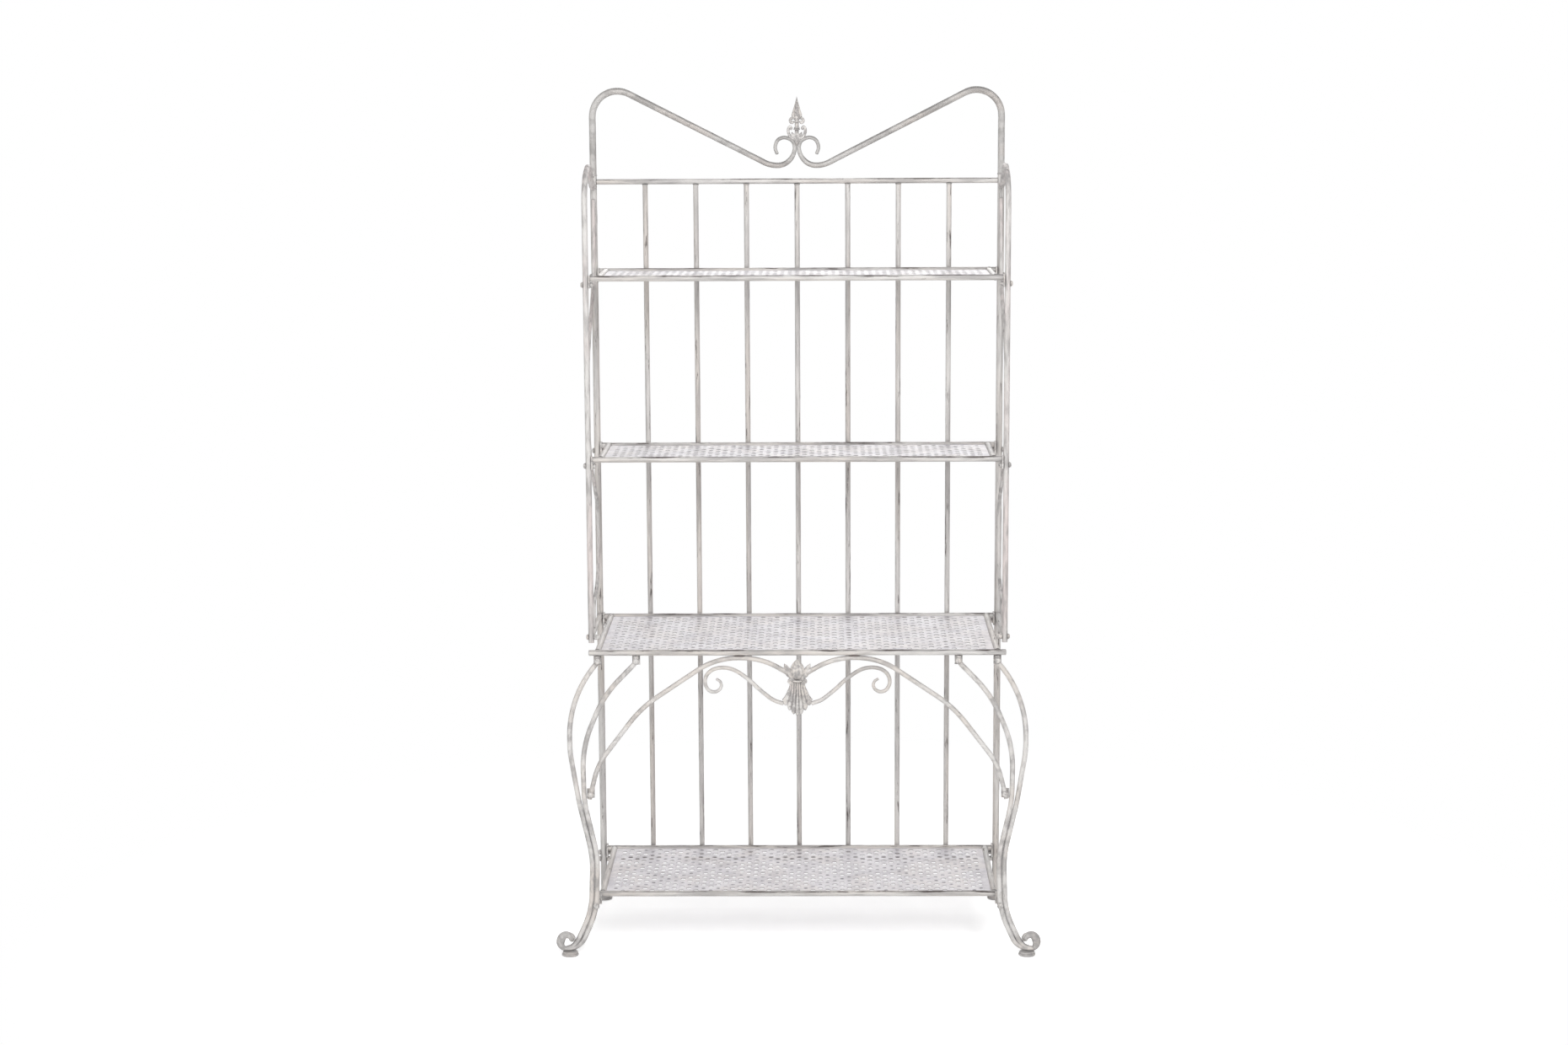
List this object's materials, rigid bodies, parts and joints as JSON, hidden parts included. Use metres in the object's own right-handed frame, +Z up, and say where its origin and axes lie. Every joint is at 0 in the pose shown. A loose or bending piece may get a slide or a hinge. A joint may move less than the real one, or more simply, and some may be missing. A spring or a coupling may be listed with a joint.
{
  "type": "tiered plant stand",
  "caption": "Tall wrought-iron plant stand: perforated shelves in a barred back frame with side hoops, scrolled crest, S-curved front legs and an arched apron.",
  "frame": {"origin": "floor level under the middle of the stand's footprint", "axes": "+Z up, +Y to the back frame, so the front faces -Y; +X to the right seen from the front"},
  "size_m": [1.0164, 0.4358, 1.8],
  "materials": {
    "frame_paint": "distressed off-white paint",
    "shelf_sheet": "distressed off-white paint",
    "hardware": "worn off-white paint",
    "foot_pads": "distressed off-white paint"
  },
  "bodies": {
    "root": {"apron_arch_left": "frame_paint", "apron_arch_right": "frame_paint", "apron_palmette": "frame_paint", "apron_scroll_left": "frame_paint", "apron_scroll_right": "frame_paint", "back_bar_1": "frame_paint", "back_bar_2": "frame_paint", "back_bar_3": "frame_paint", "back_bar_4": "frame_paint", "back_bar_5": "frame_paint", "back_bar_6": "frame_paint", "back_bar_7": "frame_paint", "back_bottom_rail": "frame_paint", "back_top_rail": "frame_paint", "back_upright_left": "frame_paint", "back_upright_right": "frame_paint", "bottom_shelf_back_rail": "frame_paint", "bottom_shelf_front_rail": "frame_paint", "bottom_shelf_left_rail": "frame_paint", "bottom_shelf_panel": "shelf_sheet", "bottom_shelf_right_rail": "frame_paint", "counter_back_rail": "frame_paint", "counter_front_rail": "frame_paint", "counter_left_rail": "frame_paint", "counter_panel": "shelf_sheet", "counter_right_rail": "frame_paint", "crest_arm_left": "frame_paint", "crest_arm_right": "frame_paint", "crest_finial": "frame_paint", "frame_screws": "hardware", "front_foot_pads": "foot_pads", "front_leg_left": "frame_paint", "front_leg_right": "frame_paint", "hex_nuts": "hardware", "leg_bolts": "hardware", "leg_brace_left": "frame_paint", "leg_brace_right": "frame_paint", "leg_lugs": "frame_paint", "long_bolts": "hardware", "lug_bolts": "hardware", "middle_shelf_back_rail": "frame_paint", "middle_shelf_front_rail": "frame_paint", "middle_shelf_left_rail": "frame_paint", "middle_shelf_panel": "shelf_sheet", "middle_shelf_right_rail": "frame_paint", "rear_foot_pads": "foot_pads", "shelf_lugs": "frame_paint", "side_bottom_rail_left": "frame_paint", "side_bottom_rail_right": "frame_paint", "side_hoop_left": "frame_paint", "side_hoop_right": "frame_paint", "side_serpentine_left": "frame_paint", "side_serpentine_right": "frame_paint", "spacer_sleeves": "hardware", "top_shelf_back_rail": "frame_paint", "top_shelf_front_rail": "frame_paint", "top_shelf_left_rail": "frame_paint", "top_shelf_panel": "shelf_sheet", "top_shelf_right_rail": "frame_paint"}
  },
  "joints": []
}
